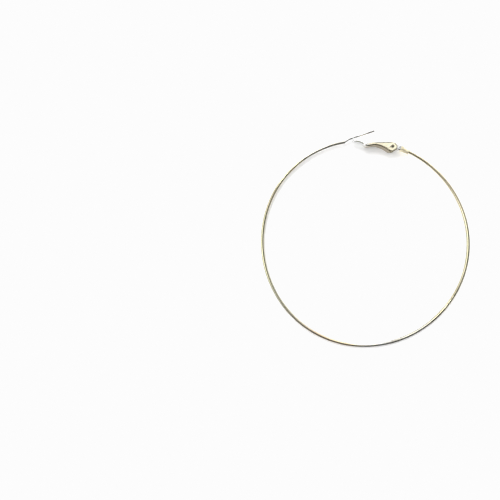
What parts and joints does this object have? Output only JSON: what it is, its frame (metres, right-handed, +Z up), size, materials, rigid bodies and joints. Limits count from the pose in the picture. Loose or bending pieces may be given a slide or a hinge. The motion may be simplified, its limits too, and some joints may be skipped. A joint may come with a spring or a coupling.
{
  "type": "hoop earring",
  "caption": "Large thin round hoop earring of gold-toned wire with a straight ear post and a hinged lever clasp whose forked tip closes over the post.",
  "frame": {"origin": "middle of the ground under the earring, which lies on its side as it would by itself", "axes": "+Z up, the short way through the hoop; +Y from the hoop's middle towards the clasp; +X from the wire's front end with the ear post towards its crimped back end"},
  "size_m": [0.0794, 0.0826, 0.0039],
  "materials": {
    "champagne_gold_wire": "thin pale gold plating, polished",
    "clasp_bracket_steel": "worn pale gold plating over silvery metal, polished",
    "clasp_lever_plate": "pressed sheet, silvery at the tip and pale gold at the hinge, polished",
    "hinge_pin_steel": "rivet end, satin"
  },
  "bodies": {
    "hoop": {"hoop_wire": "champagne_gold_wire", "clasp_bracket": "clasp_bracket_steel", "hinge_pin": "hinge_pin_steel"},
    "lever": {"clasp_lever": "clasp_lever_plate"}
  },
  "joints": [
    {"name": "lever_hinge", "type": "hinge", "parent": "hoop", "child": "lever", "pos_m": [0.00988, 0.03464, 0.00194], "axis": [-0.0045, -0.0169, 0.9998], "range_deg": [0, 70]}
  ]
}
